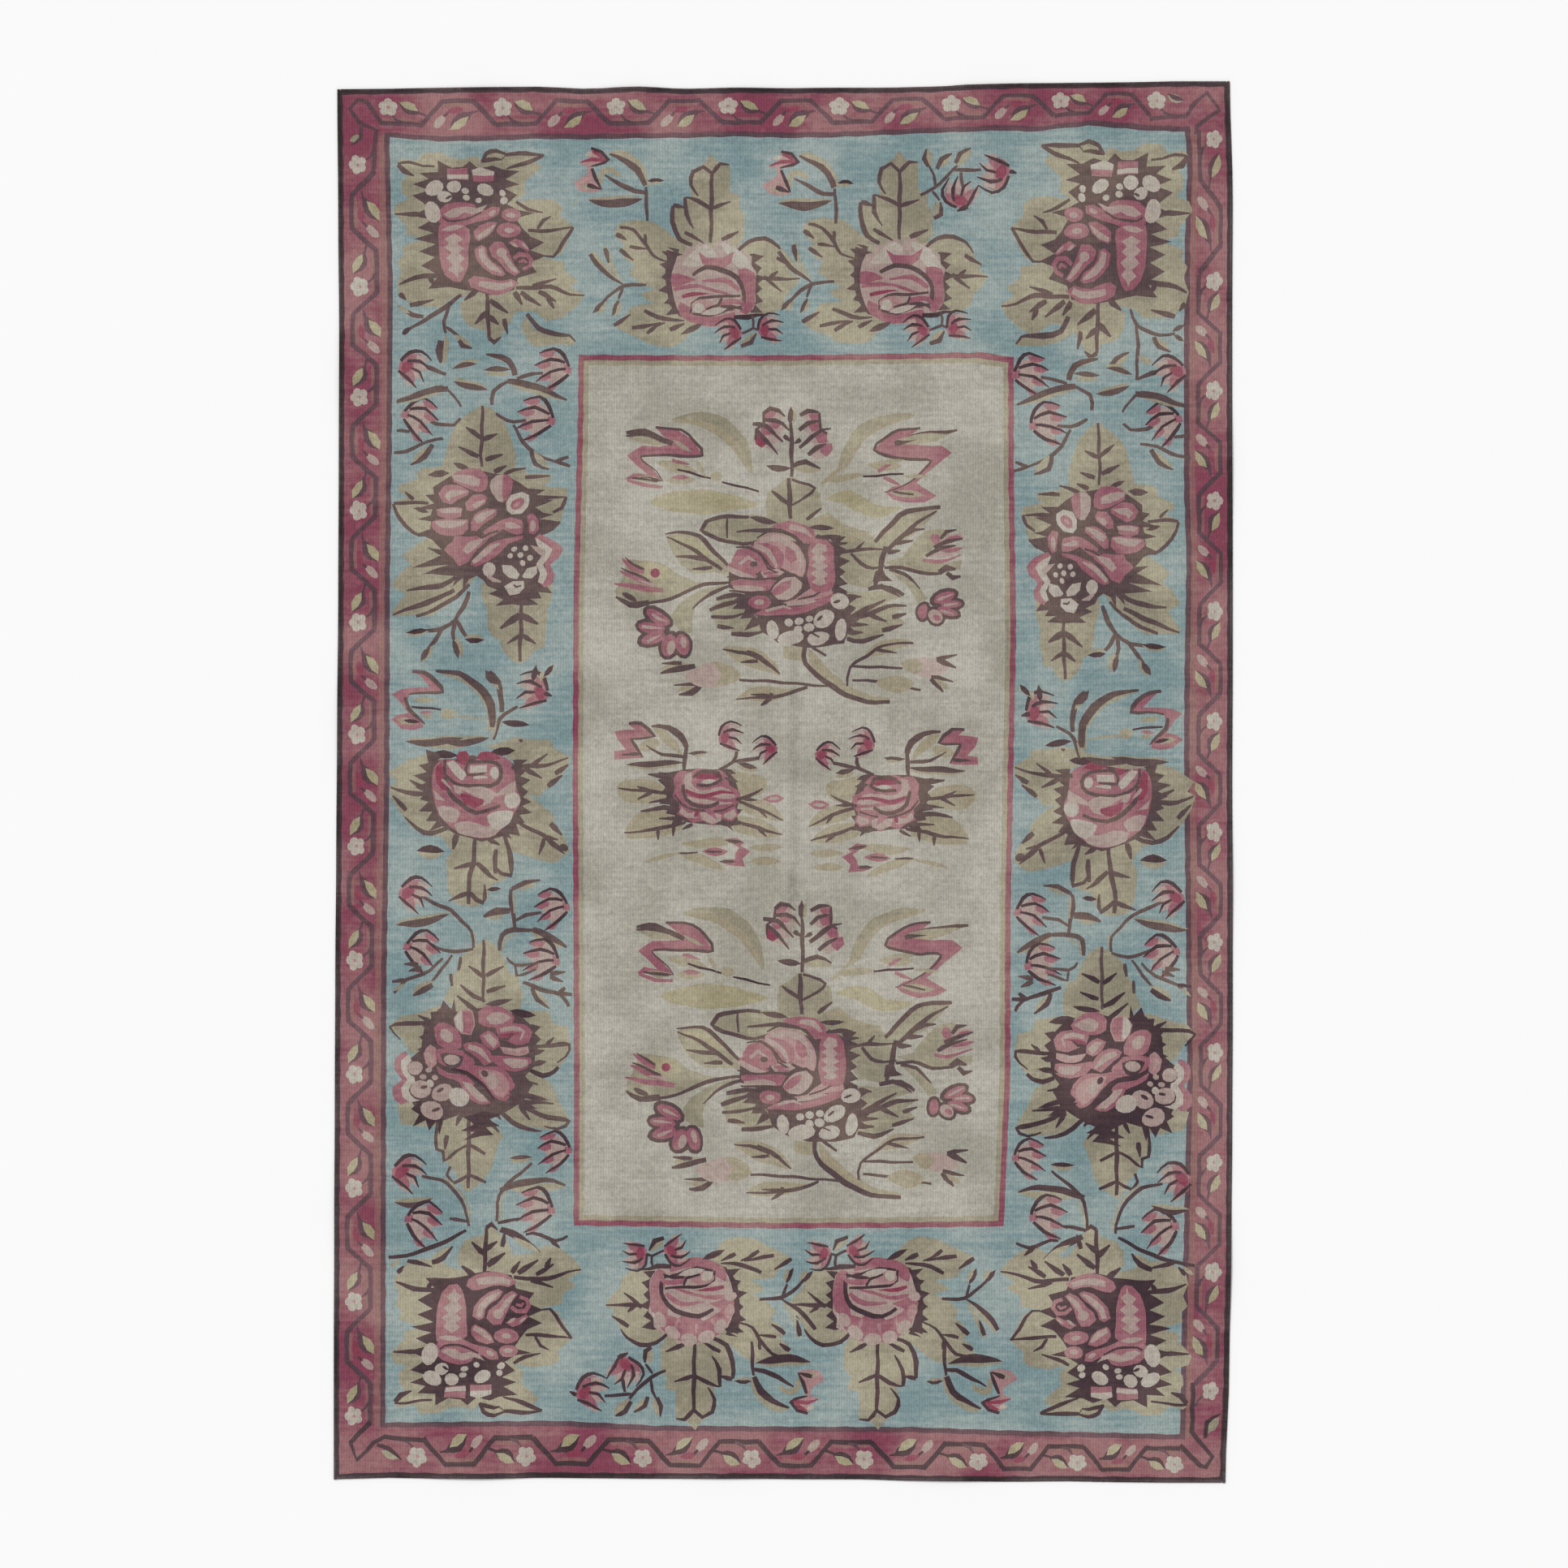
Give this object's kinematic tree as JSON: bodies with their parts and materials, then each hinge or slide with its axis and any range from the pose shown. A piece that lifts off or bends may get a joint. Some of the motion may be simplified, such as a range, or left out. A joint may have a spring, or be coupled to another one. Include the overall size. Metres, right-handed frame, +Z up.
{
  "type": "bessarabian kilim",
  "caption": "Flat-woven wool kilim, lying flat, with a rose-filled pale medallion on blue, a red vine border and overcast dark edges.",
  "frame": {"origin": "centre of the kilim's outline, on the floor under it", "axes": "+Y along the warps towards the end that is up in the picture, +X to the right there, +Z up from the floor through the cloth"},
  "size_m": [1.815, 2.8292, 0.007],
  "materials": {
    "tapestry_wool": "slit-free tapestry weave in dyed wool, blue, ivory, madder and walnut, softly faded",
    "edging_wool": "dark walnut wool, wrapped over the edge, a little fuzzy"
  },
  "bodies": {
    "root": {"cloth": "tapestry_wool", "left_edging": "edging_wool", "right_edging": "edging_wool", "lower_edging": "edging_wool", "upper_edging": "edging_wool"}
  },
  "joints": []
}
